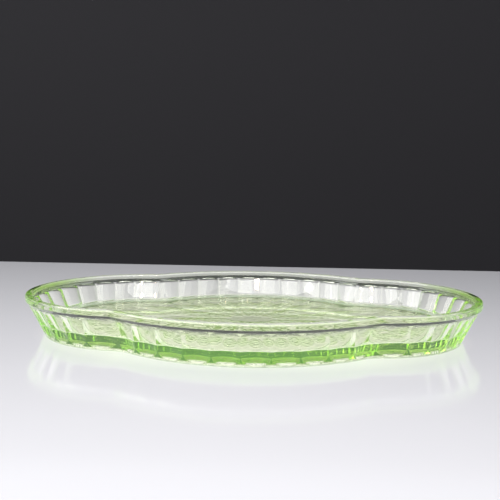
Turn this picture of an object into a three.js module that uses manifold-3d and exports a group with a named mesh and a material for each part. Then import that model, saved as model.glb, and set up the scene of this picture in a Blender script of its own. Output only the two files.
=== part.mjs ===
// A shallow pressed-glass tray with four lobes: two long ones, front and back, and a round one at
// each end. Units are millimetres, +Z is up, X runs along the tray, and the origin is the middle of
// the face it stands on.
//
// The real tray is one pressing of uranium glass. It is held here as the regions that a mould-maker
// would name: the foot, the thick floor slab, the fluted wall of each lobe, and the plain rim above
// each wall. Neighbouring regions meet face to face on flat planes.
import * as THREE from "three";
import { mergeVertices } from "three/addons/utils/BufferGeometryUtils.js";
import Module from "manifold-3d";

const wasm = await Module();
wasm.setup();

// Driving dimensions of the plan, all at the outermost line of the rim
const LENGTH = 280;
const WIDTH = 188;
const END_RADIUS = 68; // the round lobe at each end
const LONG_RADIUS = 115; // the long lobe at the front and at the back
const CUSP_FILLET = 7; // rounds the inward corner where two lobes meet

// Driving dimensions of the section
const HEIGHT = 25;
const FLOOR_TOP = 9.25; // the slab is thick, as on most pressed trays
const RIM_BOTTOM = 21.75; // where the upright band of the rim begins
const COVE_HEIGHT = 1.5; // the hollowed slope between the flutes and the rim
const COVE_REACH = 1.5; // how far the rim stands proud of the fluted wall
const FOOT_INSET = 11; // how far the foot lies inside the rim, seen from above
const FOOT_WIDTH = 7; // the flat ring that the tray stands on
const FOOT_HEIGHT = 2; // how far the underside is set back within that ring
const PLAIN_HEIGHT = 0.75; // the upright line round the foot, under the flutes
const WALL_WIDTH = 4.75; // measured level, from the outside to the inside
const RIM_INNER_INSET = 5;
const RIM_CHAMFER = 0.75;

// Flutes: shallow scoops side by side, with an arched top and an arched bottom. They keep clear
// of the cusps. Each stands upright on its lobe, or nearly: its foot is turned round the lobe by a
// little more or less than its top.
const END_FLUTES = { count: 12, topPitch: 12.6, footPitch: 12.2 }; // angles in degrees
const LONG_FLUTES = { count: 8, topPitch: 7.8, footPitch: 8.5 };
const FLUTE_DEPTH = 1.3;
const FLUTE_BOTTOM = 1; // height of the lowest point of a flute
const FLUTE_TOP_ARCH = 3.6; // rise of the arches, along the wall
const FLUTE_BOTTOM_ARCH = 4.4;

// The upright planes where the regions of two neighbouring lobes part
const SPLIT_X = 74;

// How finely the round stretches are divided
const END_STEPS = 26;
const LONG_STEPS = 22;
const FILLET_STEPS = 4;
const ROLLER_SIDES = 48;
const ROLLER_END_STEPS = 6;

const MARGIN = 10; // how far a cutting tool reaches past the solid

// The shades of the glass, from its thinnest regions to its thickest
const GLASS = { roughness: 0.05, metalness: 0 };
const RIM_SHADE = { ...GLASS, color: 0xb2d67c };
const WALL_SHADE = { ...GLASS, color: 0xc9dcae };
const FLOOR_SHADE = { ...GLASS, color: 0x8fc45c };

// Plan of the tray -----------------------------------------------------------------------------

const END_CENTRE = new THREE.Vector2(LENGTH / 2 - END_RADIUS, 0);
const LONG_CENTRE = new THREE.Vector2(0, WIDTH / 2 - LONG_RADIUS);
const CUSP_CENTRE = cuspCentre();

// Half of the angle that each lobe spans, from its middle to where a fillet takes over
const END_HALF_ANGLE = CUSP_CENTRE.clone().sub(END_CENTRE).angle();
const LONG_HALF_ANGLE = Math.PI / 2 - CUSP_CENTRE.clone().sub(LONG_CENTRE).angle();

// The centre of the fillet between the right lobe and the back lobe. It lies one fillet radius
// outside the circles of both.
function cuspCentre() {
  const fromEnd = END_RADIUS + CUSP_FILLET;
  const fromLong = LONG_RADIUS + CUSP_FILLET;
  const direction = LONG_CENTRE.clone().sub(END_CENTRE);
  const apart = direction.length();
  direction.normalize();
  const along = (fromEnd ** 2 - fromLong ** 2 + apart ** 2) / (2 * apart);
  const across = Math.sqrt(fromEnd ** 2 - along ** 2);
  return new THREE.Vector2(
    END_CENTRE.x + along * direction.x + across * direction.y,
    END_CENTRE.y + along * direction.y - across * direction.x,
  );
}

// Points on an arc, without its last one, which the next arc starts with
function arcPoints(centreX, centreY, radius, from, to, steps) {
  const points = [];
  for (let i = 0; i < steps; i += 1) {
    const angle = THREE.MathUtils.lerp(from, to, i / steps);
    points.push(new THREE.Vector2(centreX + radius * Math.cos(angle), centreY + radius * Math.sin(angle)));
  }
  return points;
}

// The closed outline at a distance inside the rim's outermost line, counter-clockwise from the
// right lobe. A lobe's radius shrinks as the outline moves in, and a fillet's grows. Every outline
// has the same number of points, so a wall can join any two of them.
function outline(inset) {
  const endRadius = END_RADIUS - inset;
  const longRadius = LONG_RADIUS - inset;
  const filletRadius = CUSP_FILLET + inset;
  const up = Math.PI / 2;
  const cusp = CUSP_CENTRE;
  const half = [
    ...arcPoints(END_CENTRE.x, 0, endRadius, -END_HALF_ANGLE, END_HALF_ANGLE, END_STEPS),
    ...arcPoints(cusp.x, cusp.y, filletRadius, END_HALF_ANGLE - 2 * up, -up - LONG_HALF_ANGLE, FILLET_STEPS),
    ...arcPoints(0, LONG_CENTRE.y, longRadius, up - LONG_HALF_ANGLE, up + LONG_HALF_ANGLE, LONG_STEPS),
    ...arcPoints(-cusp.x, cusp.y, filletRadius, LONG_HALF_ANGLE - up, -END_HALF_ANGLE, FILLET_STEPS),
  ];
  const otherHalf = half.map((point) => point.clone().negate());
  return [...half, ...otherHalf];
}

// Solids ---------------------------------------------------------------------------------------

function toSolid(geometry) {
  const bare = new THREE.BufferGeometry();
  bare.setAttribute("position", geometry.getAttribute("position"));
  bare.setIndex(geometry.getIndex());
  const merged = mergeVertices(bare);
  return new wasm.Manifold(
    new wasm.Mesh({
      numProp: 3,
      vertProperties: new Float32Array(merged.getAttribute("position").array),
      triVerts: new Uint32Array(merged.getIndex().array),
    }),
  );
}

function toMesh(name, solid, shade) {
  const { vertProperties, triVerts } = solid.getMesh();
  const geometry = new THREE.BufferGeometry();
  geometry.setAttribute("position", new THREE.BufferAttribute(vertProperties, 3));
  geometry.setIndex(new THREE.BufferAttribute(triVerts, 1));
  geometry.computeVertexNormals();
  const mesh = new THREE.Mesh(geometry, new THREE.MeshStandardMaterial(shade));
  mesh.name = name;
  return mesh;
}

// A solid through a stack of level sections, from the lowest up. Each section is { inset, z }.
function stack(sections) {
  const plan = outline(0);
  const count = plan.length;
  const positions = [];
  for (const section of sections) {
    for (const point of outline(section.inset)) {
      positions.push(point.x, point.y, section.z);
    }
  }
  const indices = [];
  for (let level = 0; level + 1 < sections.length; level += 1) {
    for (let i = 0; i < count; i += 1) {
      const a = level * count + i;
      const b = level * count + ((i + 1) % count);
      indices.push(a, b, b + count, a, b + count, a + count);
    }
  }
  const top = (sections.length - 1) * count;
  for (const [a, b, c] of THREE.ShapeUtils.triangulateShape(plan, [])) {
    indices.push(a, c, b, top + a, top + b, top + c);
  }
  const geometry = new THREE.BufferGeometry();
  geometry.setAttribute("position", new THREE.Float32BufferAttribute(positions, 3));
  geometry.setIndex(indices);
  return toSolid(geometry);
}

// A block between two corners, for keeping one region of a solid
function block(low, high) {
  const size = new THREE.Vector3().subVectors(high, low);
  const centre = new THREE.Vector3().addVectors(low, high).multiplyScalar(0.5);
  const box = new THREE.BoxGeometry(size.x, size.y, size.z);
  return toSolid(box.translate(centre.x, centre.y, centre.z));
}

// Fluted bowl ----------------------------------------------------------------------------------

// The outside of the wall is a straight slope from the plain line round the foot to the cove.
const COVE_BOTTOM = RIM_BOTTOM - COVE_HEIGHT;
const SLOPE = (FOOT_INSET - COVE_REACH) / (COVE_BOTTOM - PLAIN_HEIGHT);
const WALL_LEAN = Math.atan(SLOPE);

function wallInset(z) {
  return FOOT_INSET - SLOPE * (z - PLAIN_HEIGHT);
}

// A point of that slope on a lobe, at an angle round the lobe and at a height
function slopePoint(centre, lobeRadius, angle, z) {
  const radius = lobeRadius - wallInset(z);
  return new THREE.Vector3(centre.x + radius * Math.cos(angle), centre.y + radius * Math.sin(angle), z);
}

// The tool that leaves one flute: a long roller whose ends are half ellipses. Sunk into the wall by
// the flute's depth, it marks out straight sides and an arch at each end.
function fluteRoller(width, wallRadius, length) {
  const radius = 1 / ((8 * FLUTE_DEPTH) / width ** 2 - 1 / wallRadius);
  const archPerLength = Math.sqrt(1 - (1 - FLUTE_DEPTH / radius) ** 2);
  const lowShoulder = FLUTE_BOTTOM_ARCH - length / 2;
  const highShoulder = length / 2 - FLUTE_TOP_ARCH;
  const profile = [
    ...rollerEnd(radius, lowShoulder, -FLUTE_BOTTOM_ARCH / archPerLength).reverse(),
    ...rollerEnd(radius, highShoulder, FLUTE_TOP_ARCH / archPerLength),
  ];
  return { roller: new THREE.LatheGeometry(profile, ROLLER_SIDES), radius };
}

// Half of an ellipse's side, from the roller's shoulder to its axis, closer together at first,
// where it meets the glass
function rollerEnd(radius, shoulder, reach) {
  const points = [];
  for (let i = 0; i <= ROLLER_END_STEPS; i += 1) {
    const angle = (Math.PI / 2) * (i / ROLLER_END_STEPS) ** 2;
    const fromAxis = i === ROLLER_END_STEPS ? 0 : radius * Math.cos(angle);
    points.push(new THREE.Vector2(fromAxis, shoulder + reach * Math.sin(angle)));
  }
  return points;
}

// All the rollers of one lobe, spread evenly about its middle direction. Each lies along the line
// from its flute's foot to its flute's top.
function lobeRollers(centre, lobeRadius, flutes, middle) {
  const tools = [];
  for (let i = 0; i < flutes.count; i += 1) {
    const place = i - (flutes.count - 1) / 2;
    const footAngle = middle + THREE.MathUtils.degToRad(flutes.footPitch * place);
    const topAngle = middle + THREE.MathUtils.degToRad(flutes.topPitch * place);
    const foot = slopePoint(centre, lobeRadius, footAngle, FLUTE_BOTTOM);
    const top = slopePoint(centre, lobeRadius, topAngle, COVE_BOTTOM);
    const upwards = top.clone().sub(foot);
    const wallRadius = lobeRadius - COVE_REACH;
    const width = THREE.MathUtils.degToRad(flutes.topPitch) * wallRadius;
    const { roller, radius } = fluteRoller(width, wallRadius, upwards.length());
    const midAngle = (footAngle + topAngle) / 2;
    const round = new THREE.Vector3(-Math.sin(midAngle), Math.cos(midAngle), 0);
    upwards.normalize();
    const outwards = round.clone().cross(upwards).normalize();
    const alongside = outwards.clone().cross(upwards);
    const midHeight = (FLUTE_BOTTOM + COVE_BOTTOM) / 2;
    const axis = slopePoint(centre, lobeRadius, midAngle, midHeight);
    axis.addScaledVector(outwards, radius - FLUTE_DEPTH);
    const frame = new THREE.Matrix4().makeBasis(outwards, upwards, alongside);
    roller.applyMatrix4(frame.setPosition(axis));
    tools.push(toSolid(roller));
  }
  return tools;
}

function allRollers() {
  const back = Math.PI / 2;
  const tools = [];
  for (const side of [1, -1]) {
    const endCentre = END_CENTRE.clone().multiplyScalar(side);
    const longCentre = LONG_CENTRE.clone().multiplyScalar(side);
    const endMiddle = side > 0 ? 0 : Math.PI;
    tools.push(...lobeRollers(endCentre, END_RADIUS, END_FLUTES, endMiddle));
    tools.push(...lobeRollers(longCentre, LONG_RADIUS, LONG_FLUTES, side * back));
  }
  return tools;
}

// The outside of everything below the rim, filled in
function flutedBody() {
  let solid = stack([
    { inset: FOOT_INSET, z: 0 },
    { inset: FOOT_INSET, z: PLAIN_HEIGHT },
    { inset: COVE_REACH, z: COVE_BOTTOM },
    { inset: 0, z: RIM_BOTTOM },
  ]);
  for (const roller of allRollers()) {
    solid = solid.subtract(roller);
  }
  return solid;
}

// The space inside the walls, carried on past the floor and the rim's bottom
function hollow() {
  const low = wallInset(FLOOR_TOP) + WALL_WIDTH;
  const high = wallInset(RIM_BOTTOM) + WALL_WIDTH;
  return stack([
    { inset: low, z: FLOOR_TOP - MARGIN },
    { inset: low, z: FLOOR_TOP },
    { inset: high, z: RIM_BOTTOM },
    { inset: high, z: RIM_BOTTOM + MARGIN },
  ]);
}

// The space inside the ring that the tray stands on, where the underside is set back
function recess() {
  return stack([
    { inset: FOOT_INSET + FOOT_WIDTH, z: -MARGIN },
    { inset: FOOT_INSET + FOOT_WIDTH, z: FOOT_HEIGHT + MARGIN },
  ]);
}

function rim() {
  const outside = stack([
    { inset: 0, z: RIM_BOTTOM },
    { inset: 0, z: HEIGHT - RIM_CHAMFER },
    { inset: RIM_CHAMFER, z: HEIGHT },
  ]);
  const inside = stack([
    { inset: wallInset(RIM_BOTTOM) + WALL_WIDTH, z: RIM_BOTTOM - MARGIN },
    { inset: wallInset(RIM_BOTTOM) + WALL_WIDTH, z: RIM_BOTTOM },
    { inset: RIM_INNER_INSET, z: HEIGHT - RIM_CHAMFER },
    { inset: RIM_INNER_INSET - RIM_CHAMFER, z: HEIGHT },
    { inset: RIM_INNER_INSET - RIM_CHAMFER, z: HEIGHT + MARGIN },
  ]);
  return outside.subtract(inside);
}

// Regions --------------------------------------------------------------------------------------

const FAR_X = LENGTH / 2 + MARGIN;
const FAR_Y = WIDTH / 2 + MARGIN;

// The ground that each lobe covers, as opposite corners
const LOBES = {
  front: [[-SPLIT_X, -FAR_Y], [SPLIT_X, 0]],
  back: [[-SPLIT_X, 0], [SPLIT_X, FAR_Y]],
  left: [[-FAR_X, -FAR_Y], [-SPLIT_X, FAR_Y]],
  right: [[SPLIT_X, -FAR_Y], [FAR_X, FAR_Y]],
};

function lobeBlock(lobe, lowZ, highZ) {
  const [low, high] = LOBES[lobe];
  return block(new THREE.Vector3(...low, lowZ), new THREE.Vector3(...high, highZ));
}

function layer(filled, lowZ, highZ) {
  const low = new THREE.Vector3(-FAR_X, -FAR_Y, lowZ);
  const high = new THREE.Vector3(FAR_X, FAR_Y, highZ);
  return filled.intersect(block(low, high));
}

function lobeWall(lobe, ring) {
  const region = lobeBlock(lobe, FLOOR_TOP, RIM_BOTTOM + MARGIN);
  return toMesh(`${lobe}_wall`, ring.intersect(region), WALL_SHADE);
}

function lobeRim(lobe, ring) {
  const region = lobeBlock(lobe, RIM_BOTTOM - MARGIN, HEIGHT + MARGIN);
  return toMesh(`${lobe}_rim`, ring.intersect(region), RIM_SHADE);
}

const tray = new THREE.Group();
const filled = flutedBody();
const wallRing = filled.subtract(hollow());
const rimRing = rim();
tray.add(toMesh("foot_ring", layer(filled, -MARGIN, FOOT_HEIGHT).subtract(recess()), FLOOR_SHADE));
tray.add(toMesh("floor_slab", layer(filled, FOOT_HEIGHT, FLOOR_TOP), FLOOR_SHADE));
for (const lobe of Object.keys(LOBES)) {
  tray.add(lobeWall(lobe, wallRing));
  tray.add(lobeRim(lobe, rimRing));
}

export default tray;
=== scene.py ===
"""A four-lobed tray of pressed uranium glass on a white table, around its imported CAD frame.

The tray is one pressing, so it is one closed mesh. The mesh is a sheet of columns, which run round
the plan, and rows, which run from the middle of the underside out to the foot, up the fluted wall,
over the rim, down the inside and across the floor. Lengths are in metres.
"""

import math

import bpy
import numpy as np
from mathutils import Matrix, Vector


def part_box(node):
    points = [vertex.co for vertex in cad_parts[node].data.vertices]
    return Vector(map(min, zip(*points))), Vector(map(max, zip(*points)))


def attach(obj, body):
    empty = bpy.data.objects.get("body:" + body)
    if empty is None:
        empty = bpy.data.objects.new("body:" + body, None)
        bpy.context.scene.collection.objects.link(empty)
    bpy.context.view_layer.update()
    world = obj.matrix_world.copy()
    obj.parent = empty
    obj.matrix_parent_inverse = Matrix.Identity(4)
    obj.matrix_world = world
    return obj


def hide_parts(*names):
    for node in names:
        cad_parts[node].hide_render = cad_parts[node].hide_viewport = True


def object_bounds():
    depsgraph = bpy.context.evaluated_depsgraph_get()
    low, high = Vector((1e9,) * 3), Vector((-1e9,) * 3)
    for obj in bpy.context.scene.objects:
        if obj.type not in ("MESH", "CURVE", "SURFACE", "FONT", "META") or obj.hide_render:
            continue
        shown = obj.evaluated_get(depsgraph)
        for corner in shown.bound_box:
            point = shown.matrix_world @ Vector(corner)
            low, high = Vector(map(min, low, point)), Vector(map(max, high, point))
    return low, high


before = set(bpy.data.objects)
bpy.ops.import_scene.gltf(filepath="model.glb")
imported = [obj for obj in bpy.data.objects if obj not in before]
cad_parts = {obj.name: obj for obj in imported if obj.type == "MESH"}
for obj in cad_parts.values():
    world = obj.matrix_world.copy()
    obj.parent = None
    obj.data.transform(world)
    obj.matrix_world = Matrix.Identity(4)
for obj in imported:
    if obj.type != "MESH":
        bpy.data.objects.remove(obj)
cad_low, cad_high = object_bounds()

MM = 0.001

# Plan, as the CAD part has it
HALF_LENGTH = cad_high.x
HALF_WIDTH = cad_high.y
END_RADIUS = 68 * MM
LONG_RADIUS = 115 * MM
CUSP_FILLET = 7 * MM
END_CENTRE_X = HALF_LENGTH - END_RADIUS
LONG_CENTRE_Y = HALF_WIDTH - LONG_RADIUS

# Section, as the CAD part has it
HEIGHT = cad_high.z
FLOOR_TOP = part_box("floor_slab")[1].z
RIM_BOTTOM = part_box("front_rim")[0].z
FOOT_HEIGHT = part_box("foot_ring")[1].z
FOOT_INSET = 11 * MM
FOOT_WIDTH = 7 * MM
PLAIN_HEIGHT = 0.75 * MM  # the upright line round the foot, under the flutes
COVE_HEIGHT = 1.5 * MM
COVE_REACH = 1.5 * MM
COVE_BOTTOM = RIM_BOTTOM - COVE_HEIGHT
WALL_WIDTH = 4.75 * MM
RIM_INNER_INSET = 4.6 * MM
SLOPE = (FOOT_INSET - COVE_REACH) / (COVE_BOTTOM - PLAIN_HEIGHT)
LEAN = math.atan(SLOPE)

# Flutes. Half of a lobe's flutes are counted from its middle, where two of them meet.
END_HALF_COUNT = 6
END_PITCH = (math.radians(12.6), math.radians(12.2))  # at the top, at the foot
LONG_HALF_COUNT = 4
LONG_PITCH = (math.radians(7.8), math.radians(8.5))
FLUTE_DEPTH = 1.3 * MM
FLUTE_BOTTOM = 1.0 * MM
FLUTE_TOP = COVE_BOTTOM - 0.1 * MM
TOP_ARCH = 3.4 * MM
BOTTOM_ARCH = 5.0 * MM
TOP_POWER = 4.0  # the top of a flute turns out of the wall more suddenly than its bottom
BOTTOM_POWER = 1.8
ARRIS_SOFTNESS = 0.04 * MM  # fire polishing rounds every sharp edge a little


# Plan ---------------------------------------------------------------------------------------------

def cusp_centre():
    """The centre of the fillet between the right lobe and the back lobe."""
    from_end = END_RADIUS + CUSP_FILLET
    from_long = LONG_RADIUS + CUSP_FILLET
    direction = Vector((-END_CENTRE_X, LONG_CENTRE_Y))
    apart = direction.length
    direction.normalize()
    along = (from_end**2 - from_long**2 + apart**2) / (2 * apart)
    across = math.sqrt(from_end**2 - along**2)
    return Vector((END_CENTRE_X + along * direction.x + across * direction.y,
                   along * direction.y - across * direction.x))


CUSP = cusp_centre()
END_HALF_ANGLE = math.atan2(CUSP.y, CUSP.x - END_CENTRE_X)
LONG_HALF_ANGLE = math.atan2(CUSP.x, CUSP.y - LONG_CENTRE_Y)
FILLET_HALF_TURN = (math.pi / 2 + LONG_HALF_ANGLE - (math.pi - END_HALF_ANGLE)) / 2

# Where the columns of one flute stand, from its middle (0) to its edge (1): closer by the edge
ACROSS_HALF = (0, 0.16, 0.32, 0.47, 0.61, 0.73, 0.83, 0.9, 0.945, 0.975)
ACROSS_FLUTE = (-1, *(-place for place in reversed(ACROSS_HALF[1:])), *ACROSS_HALF)


def lobe_flutes(count, pitch):
    """Columns of half a lobe, from its middle out: angle at the top, angle at the foot, and place
    across the flute from 0 to 1."""
    return [(pitch[0] * (k + (place + 1) / 2), pitch[1] * (k + (place + 1) / 2), abs(place))
            for k in range(count) for place in ACROSS_FLUTE]


def cusp_flute(count, pitch, half_angle, lobe_radius):
    """Columns of the wide flute between a lobe's last flute and the cusp. The first list lies on the
    lobe, as lobe_flutes has it, and the second on the fillet: share of its half turn, and place."""
    top, foot = count * pitch[0], count * pitch[1]
    on_lobe = (half_angle - top) * (lobe_radius - COVE_REACH)
    on_fillet = FILLET_HALF_TURN * (CUSP_FILLET + COVE_REACH)
    lobe, fillet = [], []
    for place in ACROSS_FLUTE:
        along = (place + 1) / 2 * (on_lobe + on_fillet)
        share = along / on_lobe
        if share <= 1:
            lobe.append((top + (half_angle - top) * share, foot + (half_angle - foot) * share, abs(place)))
        else:
            fillet.append(((along - on_lobe) / on_fillet, abs(place)))
    return lobe, fillet


def quarter_columns():
    """Columns from the middle of the right lobe to the middle of the back lobe. Each is centre x and
    y, radius, growth of the radius with the inset, angle at the top, angle at the foot, place."""
    columns = []
    lobe, fillet = cusp_flute(END_HALF_COUNT, END_PITCH, END_HALF_ANGLE, END_RADIUS)
    for top, foot, place in lobe_flutes(END_HALF_COUNT, END_PITCH) + lobe:
        columns.append((END_CENTRE_X, 0, END_RADIUS, -1, top, foot, place))
    start = END_HALF_ANGLE - math.pi
    for share, place in fillet:
        angle = start - share * FILLET_HALF_TURN
        columns.append((*CUSP, CUSP_FILLET, 1, angle, angle, place))
    middle = start - FILLET_HALF_TURN
    columns.append((*CUSP, CUSP_FILLET, 1, middle, middle, 1))
    lobe, fillet = cusp_flute(LONG_HALF_COUNT, LONG_PITCH, LONG_HALF_ANGLE, LONG_RADIUS)
    for share, place in reversed(fillet):
        angle = middle - (1 - share) * FILLET_HALF_TURN
        columns.append((*CUSP, CUSP_FILLET, 1, angle, angle, place))
    for top, foot, place in reversed(lobe_flutes(LONG_HALF_COUNT, LONG_PITCH) + lobe):
        columns.append((0, LONG_CENTRE_Y, LONG_RADIUS, -1, math.pi / 2 - top, math.pi / 2 - foot, place))
    return np.array(columns, dtype=float)


def plan_columns():
    """All columns, counter-clockwise from the middle of the right lobe."""
    quarter = quarter_columns()
    mirrored = quarter[::-1].copy()
    mirrored[:, 0] *= -1
    mirrored[:, 4:6] = math.pi - mirrored[:, 4:6]
    half = np.vstack([quarter[:-1], mirrored[:-1]])
    other = half.copy()
    other[:, 0:2] *= -1
    other[:, 4:6] += math.pi
    return np.vstack([half, other])


COLUMNS = plan_columns()
PLACE = COLUMNS[:, 6]


def outline(inset):
    """Points of the outline at an inset, one inset for all columns or one each."""
    cx, cy, radius, growth, top_angle, foot_angle = COLUMNS[:, :6].T
    down = np.clip((inset - COVE_REACH) / (FOOT_INSET - COVE_REACH), 0, 1)
    angle = top_angle + (foot_angle - top_angle) * down
    reach = radius + growth * inset
    return np.stack([cx + reach * np.cos(angle), cy + reach * np.sin(angle)], axis=1)


# Fluted wall --------------------------------------------------------------------------------------

def wall_inset(z):
    """How far the plain outside of the wall lies inside the rim, at a height."""
    return FOOT_INSET - SLOPE * (z - PLAIN_HEIGHT)


def arch_heights():
    """For each column, the heights where its flute starts and stops."""
    rise = 1 - (1 - PLACE**2) ** (1 / BOTTOM_POWER)
    drop = 1 - (1 - PLACE**2) ** (1 / TOP_POWER)
    return FLUTE_BOTTOM + BOTTOM_ARCH * rise, FLUTE_TOP - TOP_ARCH * drop


def scoop(place, z):
    """How deep one flute would cut at a place across it and a height. Negative is clear of it."""
    below = np.maximum(FLUTE_BOTTOM + BOTTOM_ARCH - z, 0) / BOTTOM_ARCH
    above = np.maximum(z - FLUTE_TOP + TOP_ARCH, 0) / TOP_ARCH
    return FLUTE_DEPTH * (1 - place**2 - below**BOTTOM_POWER - above**TOP_POWER)


def fluted_row(z):
    """One row of points round the fluted wall, at a height for each column."""
    own = np.clip(scoop(PLACE, z) / ARRIS_SOFTNESS, -40, None)
    neighbour = np.clip(scoop(2 - PLACE, z) / ARRIS_SOFTNESS, -40, None)
    depth = ARRIS_SOFTNESS * np.log(1 + np.exp(own) + np.exp(neighbour))
    xy = outline(wall_inset(z) + depth * math.cos(LEAN))
    return np.column_stack([xy, z + depth * math.sin(LEAN)])


# Share of the way up a flute at which its rows lie: closer where the arches are
UP_FLUTE = (0, 0.004, 0.012, 0.025, 0.045, 0.07, 0.1, 0.13, 0.17, 0.24, 0.34, 0.46, 0.6, 0.7, 0.78, 0.84,
            0.89, 0.93, 0.96, 0.98, 0.993, 1)
UP_SPANDREL = (0.12, 0.3, 0.55, 0.8, 1)


def wall_rows():
    low, high = arch_heights()
    below = [PLAIN_HEIGHT + (low - PLAIN_HEIGHT) * share for share in (0, 0.3, 0.6, 0.85)]
    along = [low + (high - low) * share for share in UP_FLUTE]
    top = COVE_BOTTOM - 0.03 * MM
    above = [high + (top - high) * share for share in UP_SPANDREL]
    return [fluted_row(z) for z in (*below, *along, *above)]


# Plain rows ---------------------------------------------------------------------------------------

def level_row(inset, z):
    """One row at a single inset and height."""
    xy = outline(inset)
    return np.column_stack([xy, np.full(len(xy), z)])


def rounded(inset, z, radius, start, stop, steps):
    """Rows round a corner: an arc in the section, whose angles are 0 outwards and 90 upwards."""
    rows = []
    for i in range(steps + 1):
        angle = math.radians(start + (stop - start) * i / steps)
        rows.append(level_row(inset - radius * math.cos(angle), z + radius * math.sin(angle)))
    return rows


def foot_rows():
    """The step inside the foot, the face that the tray stands on, and the foot's outer corner."""
    inner = FOOT_INSET + FOOT_WIDTH
    soft = 0.35 * MM
    return [
        *rounded(inner + soft, FOOT_HEIGHT - soft, soft, 90, 0, 4),
        *rounded(inner - soft, soft, soft, 180, 270, 4),
        level_row(FOOT_INSET + 3 * MM, 0),
        *rounded(FOOT_INSET + soft, soft, soft, 270, 350, 5),
    ]


def cove_rows():
    """The slope between the flutes and the rim, with its lower and upper corners softened."""
    return [level_row(COVE_REACH * (1 - share), COVE_BOTTOM + COVE_HEIGHT * share)
            for share in (0.04, 0.1, 0.3, 0.5, 0.7, 0.86)]


def rim_rows():
    """The rim's outer face, its rounded top and its inner face."""
    outer = 1.0 * MM
    inner = 1.1 * MM
    return [
        level_row(0.06 * MM, RIM_BOTTOM - 0.04 * MM),
        level_row(0.01 * MM, RIM_BOTTOM + 0.12 * MM),
        level_row(0, RIM_BOTTOM + 0.35 * MM),
        level_row(0, (RIM_BOTTOM + HEIGHT) / 2),
        *rounded(outer, HEIGHT - outer, outer, 0, 90, 8),
        level_row((outer + RIM_INNER_INSET - inner) / 2, HEIGHT),
        *rounded(RIM_INNER_INSET - inner, HEIGHT - inner, inner, 90, 180, 8),
    ]


def inside_rows():
    """The smooth inside of the wall, and the hollow that joins it to the floor."""
    wall_top = COVE_BOTTOM + 0.2 * MM
    fillet = 1.5 * MM
    foot_inset = wall_inset(FLOOR_TOP) + WALL_WIDTH
    slope = (foot_inset - RIM_INNER_INSET) / (wall_top - FLOOR_TOP)
    lean = math.atan(slope)
    # The fillet touches the sloping wall and the flat floor
    tangent = fillet * math.tan((math.pi / 2 - lean) / 2)
    start_z = FLOOR_TOP + tangent * math.cos(lean)
    rows = []
    for share in (-0.03, 0.01, 0.05, 0.3, 0.6, 1):
        z = wall_top + (start_z - wall_top) * share
        rows.append(level_row(foot_inset - slope * (min(z, wall_top) - FLOOR_TOP), z))
    centre_inset = foot_inset + tangent
    centre_z = FLOOR_TOP + fillet
    rows += rounded(centre_inset, centre_z, fillet, -math.degrees(lean), -90, 8)[1:]
    return rows


# Underside pattern --------------------------------------------------------------------------------

UNDERSIDE_RINGS = 190
FLOOR_RINGS = 24

# Feathered leaves, pressed into the underside in two rings about the middle. Lengths are shares of
# the recess, whose edge is at 1, and widths and depths are true.
LEAF_RINGS = (
    {"count": 12, "base": 0.12, "tip": 0.56, "width": 9 * MM, "turn": 0.5},
    {"count": 24, "base": 0.44, "tip": 0.78, "width": 7.5 * MM, "turn": 0.5},
)
LEAF_DEPTH = 0.38 * MM
RIB_DEPTH = 0.17 * MM
RIBS_PER_LEAF = 11
RIB_SWEEP = 0.16  # how far the ribs lean towards the tip
LEAF_DIMPLES = 0.7  # how strong the dimples are on a leaf, next to those of a rosette

# A border of rosettes, one under each flute, each of two rings and filled with fine dimples
ROSETTE_MIDDLE = 0.87
ROSETTE_HALF = 0.1
ROSETTE_DEPTH = 0.3 * MM

# The step inside the foot is dimpled too, down to a little below its face
DIMPLED_STEP_ROWS = 8


def leaves(angle, share, reach, ring):
    """Depth of one ring of leaves at an angle about the middle and a share of the way to the edge."""
    pitch = 2 * math.pi / ring["count"]
    offset = (angle / pitch + ring["turn"] + 0.5) % 1 - 0.5
    along = (share - ring["base"]) / (ring["tip"] - ring["base"])
    inside = np.clip(along, 0, 1)
    half_width = ring["width"] * np.sin(math.pi * inside**0.8) ** 0.7 + 1e-9
    across = np.abs(offset) * pitch * share * reach / half_width
    body = np.clip(1 - across**2, 0, 1)
    ribs = 0.5 + 0.5 * np.cos(2 * math.pi * RIBS_PER_LEAF * (inside - RIB_SWEEP * across))
    vein = np.clip(1 - across / 0.14, 0, 1)
    edge = np.clip(body * 2.5, 0, 1) * (along > 0) * (along < 1)
    return edge * (LEAF_DEPTH * body + RIB_DEPTH * ribs * (1 - vein) - RIB_DEPTH * vein)


def rosettes(share):
    """How far out of the middle of its rosette each column lies, at a share of the way to the edge."""
    return np.sqrt(PLACE**2 + ((share - ROSETTE_MIDDLE) / ROSETTE_HALF)**2)


def underside():
    """Rows of the recessed underside, from its middle to the step inside the foot, and for each row
    how strongly its points carry the dimples."""
    rim_xy = outline(FOOT_INSET + FOOT_WIDTH + 0.7 * MM)
    angle = np.arctan2(rim_xy[:, 1], rim_xy[:, 0])
    reach = np.hypot(rim_xy[:, 0], rim_xy[:, 1])
    rows, dimples = [], []
    for i in range(1, UNDERSIDE_RINGS + 1):
        share = (i / UNDERSIDE_RINGS) ** 0.8  # closer together towards the edge
        leaf = sum(leaves(angle, share, reach, ring) for ring in LEAF_RINGS)
        out = rosettes(share)
        rosette = ROSETTE_DEPTH * np.clip((1 - out) * 6, 0, 1) * (0.5 + 0.5 * np.cos(4 * math.pi * out))
        depth = (leaf + rosette) * min(1, (1 - share) * 40)
        rows.append(np.column_stack([rim_xy * share, FOOT_HEIGHT + depth]))
        on_leaf = LEAF_DIMPLES * np.clip(leaf / LEAF_DEPTH, 0, 1)
        dimples.append(np.maximum(on_leaf, np.clip((1 - out) * 5, 0, 1)))
    return rows, dimples


def floor_rows(last):
    """Rings across the floor, from the last row of the inside to the middle."""
    return [np.column_stack([last[:, :2] * (i / FLOOR_RINGS), last[:, 2]])
            for i in range(FLOOR_RINGS - 1, 0, -1)]


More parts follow.
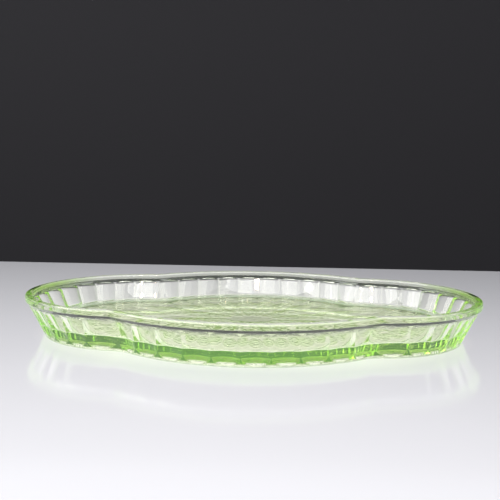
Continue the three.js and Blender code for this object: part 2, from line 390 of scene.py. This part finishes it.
# Mesh ---------------------------------------------------------------------------------------------

def sheet_mesh(name, rows):
    """A closed mesh of rows, each a ring of points, closed by a point at the middle of each end."""
    count = len(rows[0])
    first = rows[0].mean(axis=0)
    last = rows[-1].mean(axis=0)
    vertices = np.vstack([*rows, first, last])
    column = np.arange(count)
    following = (column + 1) % count
    quads = []
    for level in range(len(rows) - 1):
        a = level * count
        quads.append(np.column_stack([a + column, a + following, a + count + following, a + count + column]))
    start = len(rows) * count
    top = (len(rows) - 1) * count
    fans = [(start, following[i], column[i]) for i in range(count)]
    fans += [(start + 1, top + column[i], top + following[i]) for i in range(count)]
    mesh = bpy.data.meshes.new(name)
    mesh.from_pydata(vertices.tolist(), [], [*np.vstack(quads).tolist(), *fans])
    mesh.validate()
    mesh.shade_smooth()
    piece = bpy.data.objects.new(name, mesh)
    bpy.context.collection.objects.link(piece)
    return piece


def paint(piece, name, start, values):
    """Store a value for each vertex from a starting one on, and 0 for the others."""
    mask = np.zeros(len(piece.data.vertices))
    mask[start:start + len(values)] = values
    attribute = piece.data.attributes.new(name, "FLOAT", "POINT")
    attribute.data.foreach_set("value", mask)


# The painted deeper green at the rim's ends, standing in for light gathered along the rim through the glass,
# as shares of half the tray's length: where it starts, and where it is full
PAINTED_RIM_LIGHT_START = 0.8
PAINTED_RIM_LIGHT_FULL = 0.98


def painted_rim_light_share(rows):
    """How near each point of the rim lies to the tips of the tray, where the painted green of gathered light
    is deepest.
    """
    along = np.abs(np.vstack(rows)[:, 0]) / HALF_LENGTH
    return np.clip((along - PAINTED_RIM_LIGHT_START) / (PAINTED_RIM_LIGHT_FULL - PAINTED_RIM_LIGHT_START), 0, 1)


def make_tray():
    underside_rows, dimples = underside()
    dimples += [np.ones(len(COLUMNS))] * DIMPLED_STEP_ROWS
    below = [*underside_rows, *foot_rows(), *wall_rows(), *cove_rows()]
    rim = rim_rows()
    inside = inside_rows()
    piece = sheet_mesh("glass_tray", [*below, *rim, *inside, *floor_rows(inside[-1])])
    paint(piece, "stipple", 0, np.concatenate(dimples))
    paint(piece, "painted_rim_light", len(below) * len(COLUMNS), painted_rim_light_share(rim))
    return piece


# Materials ----------------------------------------------------------------------------------------

def new_material(name):
    material = bpy.data.materials.new(name)
    material.use_nodes = True
    nodes = material.node_tree.nodes
    return material, nodes, material.node_tree.links, nodes["Principled BSDF"]


DIMPLE_PITCH = 1.5 * MM
DIMPLE_DEPTH = 0.5 * MM
FROSTING = 0.15  # roughness where the dimples are strongest
RIPPLES_PER_METRE = 60
RIPPLE_DEPTH = 0.5 * MM


def uranium_glass():
    """Clear glass that takes its green from the light's way through it, with a little painted glow standing
    in for its fluorescence under the lamps, and a painted deeper green at the rim's ends.
    """
    material, nodes, links, shader = new_material("uranium_glass")
    # Painted light: towards the rim's ends the glass's faint own tint gives way to a deeper green, standing
    # in for light gathered along the rim.
    painted_rim_light = nodes.new("ShaderNodeAttribute")
    painted_rim_light.attribute_name = "painted_rim_light"
    tint_and_painted_rim_light = nodes.new("ShaderNodeMix")
    tint_and_painted_rim_light.data_type = "RGBA"
    tint_and_painted_rim_light.inputs["A"].default_value = (1.0, 1.0, 0.96, 1)
    tint_and_painted_rim_light.inputs["B"].default_value = (0.46, 0.73, 0.16, 1)
    links.new(painted_rim_light.outputs["Fac"], tint_and_painted_rim_light.inputs["Factor"])
    links.new(tint_and_painted_rim_light.outputs["Result"], shader.inputs["Base Color"])
    shader.inputs["Transmission Weight"].default_value = 1
    shader.inputs["IOR"].default_value = 1.52

    place = nodes.new("ShaderNodeTexCoord")
    ripple = nodes.new("ShaderNodeTexNoise")
    ripple.inputs["Scale"].default_value = RIPPLES_PER_METRE
    ripple.inputs["Detail"].default_value = 2
    links.new(place.outputs["Object"], ripple.inputs["Vector"])
    bump = nodes.new("ShaderNodeBump")
    bump.inputs["Strength"].default_value = 0.1
    bump.inputs["Distance"].default_value = RIPPLE_DEPTH
    links.new(ripple.outputs["Fac"], bump.inputs["Height"])

    dimples = nodes.new("ShaderNodeTexVoronoi")
    dimples.inputs["Scale"].default_value = 1 / DIMPLE_PITCH
    dimples.inputs["Randomness"].default_value = 0.35
    links.new(place.outputs["Object"], dimples.inputs["Vector"])
    stippled = nodes.new("ShaderNodeAttribute")
    stippled.attribute_name = "stipple"
    stipple_bump = nodes.new("ShaderNodeBump")
    stipple_bump.inputs["Distance"].default_value = DIMPLE_DEPTH
    links.new(stippled.outputs["Fac"], stipple_bump.inputs["Strength"])
    links.new(dimples.outputs["Distance"], stipple_bump.inputs["Height"])
    links.new(bump.outputs["Normal"], stipple_bump.inputs["Normal"])
    links.new(stipple_bump.outputs["Normal"], shader.inputs["Normal"])
    frosting = nodes.new("ShaderNodeMath")
    frosting.operation = "MULTIPLY"
    frosting.inputs[1].default_value = FROSTING
    links.new(stippled.outputs["Fac"], frosting.inputs[0])
    links.new(frosting.outputs["Value"], shader.inputs["Roughness"])

    absorb = nodes.new("ShaderNodeVolumeAbsorption")
    absorb.inputs["Color"].default_value = (0.72, 0.88, 0.08, 1)
    absorb.inputs["Density"].default_value = 17
    # Painted glow: the glass gives off green light of its own, standing in for the uranium's fluorescence
    # under the lamps.
    painted_glow = nodes.new("ShaderNodeEmission")
    painted_glow.inputs["Color"].default_value = (0.43, 1.0, 0.42, 1)
    painted_glow.inputs["Strength"].default_value = 1.85
    both = nodes.new("ShaderNodeAddShader")
    links.new(absorb.outputs["Volume"], both.inputs[0])
    links.new(painted_glow.outputs["Emission"], both.inputs[1])
    links.new(both.outputs["Shader"], nodes["Material Output"].inputs["Volume"])
    return material


# The painted pool of light on the table under the tray, as shares of the tray's size
PAINTED_POOL_FULL = 0.78
PAINTED_POOL_END = 0.98


def white_table():
    """A glossy white top, with a pool of light painted into its colour under the tray, where the real tray
    gathers light under itself.
    """
    material, nodes, links, shader = new_material("white_table")
    place = nodes.new("ShaderNodeTexCoord")
    scaled = nodes.new("ShaderNodeVectorMath")
    scaled.operation = "MULTIPLY"
    scaled.inputs[1].default_value = (1 / HALF_LENGTH, 1 / HALF_WIDTH, 0)
    links.new(place.outputs["Object"], scaled.inputs[0])
    away = nodes.new("ShaderNodeVectorMath")
    away.operation = "LENGTH"
    links.new(scaled.outputs["Vector"], away.inputs[0])
    painted_pool = nodes.new("ShaderNodeMapRange")
    painted_pool.inputs["From Min"].default_value = PAINTED_POOL_END
    painted_pool.inputs["From Max"].default_value = PAINTED_POOL_FULL
    links.new(away.outputs["Value"], painted_pool.inputs["Value"])
    # Painted light: the table's white is made brighter under the tray, as a pool of light.
    colour = nodes.new("ShaderNodeMix")
    colour.data_type = "RGBA"
    colour.inputs["A"].default_value = (0.63, 0.63, 0.655, 1)
    colour.inputs["B"].default_value = (0.77, 0.775, 0.75, 1)
    links.new(painted_pool.outputs["Result"], colour.inputs["Factor"])
    links.new(colour.outputs["Result"], shader.inputs["Base Color"])
    shader.inputs["Roughness"].default_value = 0.1
    shader.inputs["IOR"].default_value = 1.5
    return material


def dark_cloth():
    """A dull, nearly black cloth behind the table."""
    material, _, _, shader = new_material("dark_cloth")
    shader.inputs["Base Color"].default_value = (0.006, 0.0055, 0.0075, 1)
    shader.inputs["Roughness"].default_value = 0.9
    return material


# Stage --------------------------------------------------------------------------------------------

TABLE_BACK = 0.304
TABLE_REACH = 3
BACKDROP_Y = 0.75
BACKDROP_LEFT = -0.52
BACKDROP_RIGHT = 0.42
BACKDROP_TOP = 0.42


def plane(name, corners, material):
    mesh = bpy.data.meshes.new(name)
    mesh.from_pydata(corners, [], [(0, 1, 2, 3)])
    mesh.materials.append(material)
    thing = bpy.data.objects.new(name, mesh)
    bpy.context.collection.objects.link(thing)
    return thing


def make_stage():
    near, left, right = -TABLE_REACH, -TABLE_REACH, TABLE_REACH
    plane("table_top", [(left, near, 0), (right, near, 0), (right, TABLE_BACK, 0), (left, TABLE_BACK, 0)],
          white_table())
    left, right, top, bottom = BACKDROP_LEFT, BACKDROP_RIGHT, BACKDROP_TOP, -1
    plane("backdrop", [(left, BACKDROP_Y, bottom), (right, BACKDROP_Y, bottom), (right, BACKDROP_Y, top),
                       (left, BACKDROP_Y, top)], dark_cloth())


def area_light(name, place, target, size, power, colour=(1, 1, 1)):
    light = bpy.data.lights.new(name, "AREA")
    light.shape = "RECTANGLE"
    light.size, light.size_y = size
    light.energy = power
    light.color = colour
    lamp = bpy.data.objects.new(name, light)
    lamp.location = place
    lamp.rotation_euler = (Vector(target) - Vector(place)).to_track_quat("-Z", "Y").to_euler()
    bpy.context.collection.objects.link(lamp)


def make_lights():
    area_light("front_softbox", (-0.15, -1.0, 1.0), (0, 0, 0), (1.6, 0.9), 21)
    area_light("left_softbox", (-1.05, -0.55, 0.9), (0, 0, 0), (1.1, 0.9), 14.5)
    area_light("right_softbox", (0.95, -0.7, 1.05), (0, 0, 0), (1.1, 0.9), 5)
    area_light("room_lamp", (-0.03, -0.45, 0.78), (0, 0, 0), (0.03, 0.03), 0.5, (1, 0.72, 0.5))
    world = bpy.data.worlds.new("studio")
    world.use_nodes = True
    world.node_tree.nodes["Background"].inputs["Color"].default_value = (0.9, 0.92, 1.0, 1)
    world.node_tree.nodes["Background"].inputs["Strength"].default_value = 0.34
    bpy.context.scene.world = world


# Camera, placed from the middle of the rim's level --------------------------------------------------

CAMERA_DISTANCE = 0.4385
CAMERA_ELEVATION = 9.81
CAMERA_AZIMUTH = 3.42
CAMERA_TILT = 6.36  # how far it looks below the horizon
CAMERA_YAW = 3.6
CAMERA_ROLL = 0.66
CAMERA_LENS = 50.4


def make_camera():
    data = bpy.data.cameras.new("camera")
    data.lens = CAMERA_LENS
    data.sensor_width = 36
    data.clip_start = 0.01
    camera = bpy.data.objects.new("camera", data)
    azimuth = math.radians(CAMERA_AZIMUTH)
    elevation = math.radians(CAMERA_ELEVATION)
    level = CAMERA_DISTANCE * math.cos(elevation)
    camera.location = (level * math.sin(azimuth), -level * math.cos(azimuth),
                       HEIGHT + CAMERA_DISTANCE * math.sin(elevation))
    turn = (Matrix.Rotation(math.radians(CAMERA_YAW), 3, "Z")
            @ Matrix.Rotation(math.radians(90 - CAMERA_TILT), 3, "X")
            @ Matrix.Rotation(math.radians(CAMERA_ROLL), 3, "Z"))
    camera.rotation_euler = turn.to_euler()
    bpy.context.collection.objects.link(camera)
    bpy.context.scene.camera = camera


# Scene --------------------------------------------------------------------------------------------

tray = make_tray()
tray.data.materials.append(uranium_glass())
# The lamps light the table through the glass, as they do through so clear a tray
tray.visible_shadow = False
tray.visible_diffuse = False
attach(tray, "root")
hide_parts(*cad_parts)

make_stage()
make_lights()
make_camera()

scene = bpy.context.scene
scene.view_settings.view_transform = "Standard"
# Light is turned back many times inside thick glass before it gets out
scene.cycles.max_bounces = 32
scene.cycles.glossy_bounces = 32
scene.cycles.transmission_bounces = 32
